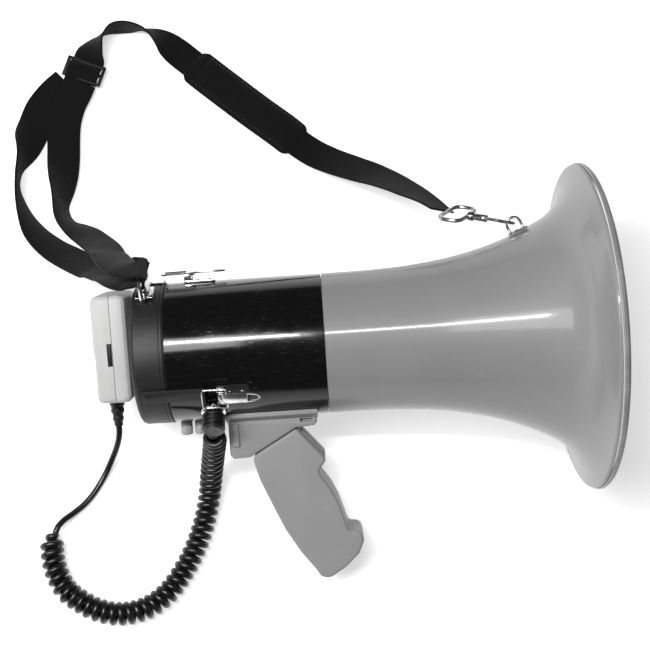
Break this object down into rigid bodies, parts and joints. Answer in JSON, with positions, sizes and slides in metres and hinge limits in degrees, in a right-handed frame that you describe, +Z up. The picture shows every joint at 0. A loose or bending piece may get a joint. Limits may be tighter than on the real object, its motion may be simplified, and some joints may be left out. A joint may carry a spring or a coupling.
{
  "type": "handheld megaphone",
  "caption": "Re-entrant horn megaphone on a pistol grip, lying on its side, with a hung fist microphone, curly cord, draw latches and webbing strap.",
  "frame": {"origin": "on the floor, under the middle of everything but the cord and its plug", "axes": "+Z up; the bell opens towards +X, 12 degrees above the floor; the grip points towards -Y and the strap lies towards +Y"},
  "size_m": [0.4243, 0.4705, 0.2253],
  "materials": {
    "black_plastic": "semi-gloss moulded black",
    "black_rubber": "satin black",
    "black_webbing": "woven",
    "board_green": "solder-masked board",
    "cell_wrap": "printed film, no marks",
    "chrome": "polished plate",
    "grey_plastic": "fine satin moulding",
    "light_plastic": "fine satin moulding",
    "steel": "zinc plated"
  },
  "bodies": {
    "megaphone": {"amplifier_board": "board_green", "barrel_shell": "black_plastic", "battery_cell_1": "cell_wrap", "battery_cell_2": "cell_wrap", "battery_cell_3": "cell_wrap", "battery_cell_4": "cell_wrap", "battery_cell_5": "cell_wrap", "battery_tray": "black_plastic", "bell_rim_trim": "black_rubber", "bulkhead": "steel", "cap_seal": "black_rubber", "control_board": "board_green", "cord_coil": "black_rubber", "cord_plug": "black_rubber", "cord_socket": "steel", "cord_tail": "black_rubber", "driver_back_can": "steel", "driver_diaphragm": "cell_wrap", "driver_magnet": "steel", "front_strap_lug": "chrome", "grip_bracket": "grey_plastic", "grip_screw_1": "steel", "grip_screw_2": "steel", "grip_shell_left": "grey_plastic", "grip_shell_right": "grey_plastic", "heat_sink": "steel", "horn_bell": "grey_plastic", "mic_back_shell": "light_plastic", "mic_capsule": "steel", "mic_cradle": "chrome", "mic_front_shell": "light_plastic", "mic_strain_relief": "black_rubber", "near_latch_base": "chrome", "near_latch_keeper": "black_plastic", "rear_cap": "black_plastic", "rear_strap_lug": "chrome", "rear_strap_ring": "chrome", "reflector_cup": "grey_plastic", "shoulder_pad": "black_webbing", "slide_buckle": "black_plastic", "snap_hook": "chrome", "strap_front": "black_webbing", "strap_loop": "black_webbing", "strap_middle": "black_webbing", "strap_swivel": "chrome", "throat_tube": "grey_plastic", "top_latch_base": "chrome", "top_latch_keeper": "chrome", "trigger_pin": "steel", "trigger_spring": "steel", "trigger_switch": "black_plastic"},
    "trigger": {"trigger": "grey_plastic"},
    "volume_knob": {"volume_knob": "light_plastic"},
    "tone_knob": {"tone_knob": "light_plastic"},
    "talk_button": {"mic_talk_button": "black_plastic"},
    "near_latch_lever": {"near_latch_lever": "chrome"},
    "near_latch_bail": {"near_latch_bail": "chrome"},
    "top_latch_lever": {"top_latch_lever": "chrome"},
    "top_latch_bail": {"top_latch_bail": "chrome"},
    "snap_gate": {"snap_gate": "chrome"}
  },
  "joints": [
    {"name": "trigger_hinge", "type": "hinge", "parent": "megaphone", "child": "trigger", "pos_m": [-0.01014, -0.12325, 0.04826], "axis": [0.1914, 0.3502, -0.9169], "range_deg": [0, 8], "stiffness_Nm_per_rad": 0.12},
    {"name": "volume_turn", "type": "hinge", "parent": "megaphone", "child": "volume_knob", "pos_m": [-0.09001, -0.11051, 0.03645], "axis": [0.0716, -0.9367, -0.3428], "range_deg": [0, 270]},
    {"name": "tone_turn", "type": "hinge", "parent": "megaphone", "child": "tone_knob", "pos_m": [-0.08023, -0.11051, 0.0385], "axis": [0.0716, -0.9367, -0.3428], "range_deg": [0, 270]},
    {"name": "talk_press", "type": "slide", "parent": "megaphone", "child": "talk_button", "axis": [0.1914, 0.3502, -0.9169], "range_m": [0, 0.002], "stiffness_N_per_m": 600},
    {"name": "near_latch_lift", "type": "hinge", "parent": "megaphone", "child": "near_latch_lever", "pos_m": [-0.07106, -0.10294, 0.0949], "axis": [0.1554, -0.6494, -0.7444], "range_deg": [0, 100]},
    {"name": "near_bail_turn", "type": "hinge", "parent": "near_latch_lever", "child": "near_latch_bail", "pos_m": [-0.06741, -0.10446, 0.09699], "axis": [-0.1554, 0.6494, 0.7444], "range_deg": [0, 100]},
    {"name": "top_latch_lift", "type": "hinge", "parent": "megaphone", "child": "top_latch_lever", "pos_m": [-0.08867, -0.01182, 0.07649], "axis": [-0.1888, -0.3827, 0.9044], "range_deg": [0, 100]},
    {"name": "top_bail_turn", "type": "hinge", "parent": "top_latch_lever", "child": "top_latch_bail", "pos_m": [-0.08491, -0.00997, 0.07805], "axis": [0.1888, 0.3827, -0.9044], "range_deg": [0, 100]},
    {"name": "gate_open", "type": "hinge", "parent": "megaphone", "child": "snap_gate", "pos_m": [0.11844, 0.01477, 0.12318], "axis": [0.1349, 0.9021, 0.4099], "range_deg": [0, 25], "stiffness_Nm_per_rad": 0.01}
  ],
  "couplings": [
    {"joint": "near_bail_turn", "follows": "near_latch_lift", "ratio": 1},
    {"joint": "top_bail_turn", "follows": "top_latch_lift", "ratio": 1}
  ]
}
